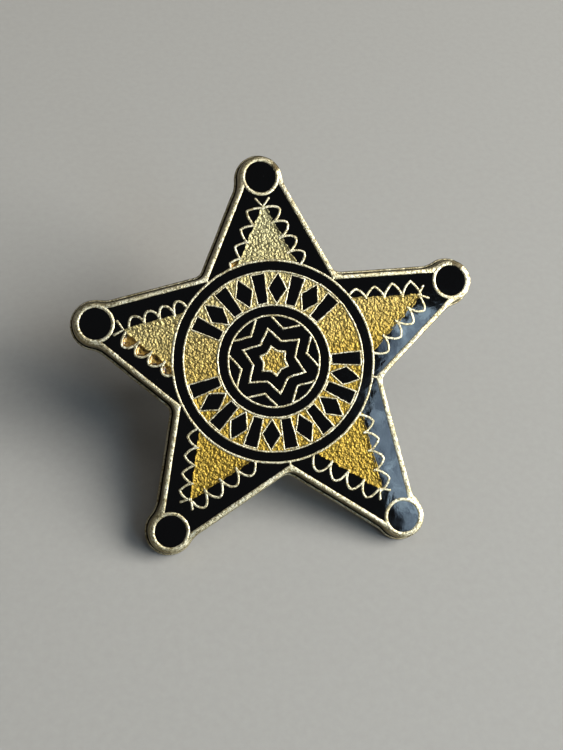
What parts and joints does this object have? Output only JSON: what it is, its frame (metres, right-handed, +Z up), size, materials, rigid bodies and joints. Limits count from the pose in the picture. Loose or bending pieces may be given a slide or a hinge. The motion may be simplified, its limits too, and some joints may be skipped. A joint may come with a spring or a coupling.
{
  "type": "lapel pin",
  "caption": "Five-armed star lapel pin of die-struck brass with ball tips, a round medallion and black enamel, and a pointed post behind it.",
  "frame": {"origin": "middle of the part's outline seen from above, on the surface that it rests on", "axes": "+Z up, +X to the right of someone facing the star, -Y towards them: the star's face looks up and towards -Y"},
  "size_m": [0.0258, 0.0212, 0.0151],
  "materials": {
    "brass": "die-struck, with polished lines and rim and grained panels",
    "black_enamel": "glossy black enamel filled to just below the metal lines",
    "thin_enamel": "glossy brown film of enamel over the brass"
  },
  "bodies": {
    "root": {"star_body": "brass", "enamel_arm_top": "black_enamel", "enamel_arm_right": "black_enamel", "enamel_arm_lower_right": "black_enamel", "enamel_arm_lower_left": "black_enamel", "enamel_arm_left": "black_enamel", "enamel_disc_top": "black_enamel", "enamel_disc_right": "black_enamel", "enamel_disc_lower_right": "black_enamel", "enamel_disc_lower_left": "black_enamel", "enamel_disc_left": "black_enamel", "enamel_thin_cells": "thin_enamel", "enamel_ring_outer": "black_enamel", "enamel_ring_inner": "black_enamel", "enamel_band_upper": "black_enamel", "enamel_band_lower": "black_enamel", "enamel_star_field": "black_enamel", "enamel_star_inner": "black_enamel", "enamel_segments": "black_enamel"}
  },
  "joints": []
}
